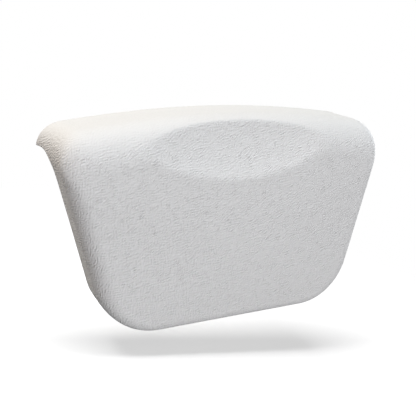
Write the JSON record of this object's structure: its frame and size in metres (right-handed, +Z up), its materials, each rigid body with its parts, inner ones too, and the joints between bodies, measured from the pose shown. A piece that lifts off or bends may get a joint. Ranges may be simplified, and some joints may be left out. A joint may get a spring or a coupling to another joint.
{
  "type": "bath pillow",
  "caption": "Moulded foam bath pillow with a head dish across its top front edge, a lip that hooks over the bath rim, and suction cups that slide in keyhole sockets on its back.",
  "frame": {"origin": "the edge of the bath at the middle of the pillow: the level of the bath rim that the lip rests on, in the plane of the bath wall that the suction cups are pressed to", "axes": "+X along the bath rim towards the viewer's right, +Y away from the bather into the bath wall, +Z up"},
  "size_m": [0.2968, 0.0718, 0.1735],
  "materials": {
    "skin": "white polyurethane skin with a fine leather grain, matte satin",
    "foam": "soft open polyurethane foam, matte",
    "plate": "grey moulded polypropylene",
    "socket": "white moulded polypropylene, satin",
    "cup": "milky soft vinyl, glossy",
    "screw": "stainless steel"
  },
  "bodies": {
    "pillow": {"cushion_skin": "skin", "foam_core": "foam", "carrier_plate": "plate", "cup_socket_left": "socket", "cup_socket_right": "socket", "socket_screw_left_1": "screw", "socket_screw_left_2": "screw", "socket_screw_left_3": "screw", "socket_screw_right_1": "screw", "socket_screw_right_2": "screw", "socket_screw_right_3": "screw"},
    "cup_left": {"suction_cup_left": "cup"},
    "cup_right": {"suction_cup_right": "cup"}
  },
  "joints": [
    {"name": "cup_left_slide", "type": "slide", "parent": "pillow", "child": "cup_left", "axis": [0, 0, 1], "range_m": [-0.011, 0]},
    {"name": "cup_right_slide", "type": "slide", "parent": "pillow", "child": "cup_right", "axis": [0, 0, 1], "range_m": [-0.011, 0]}
  ]
}
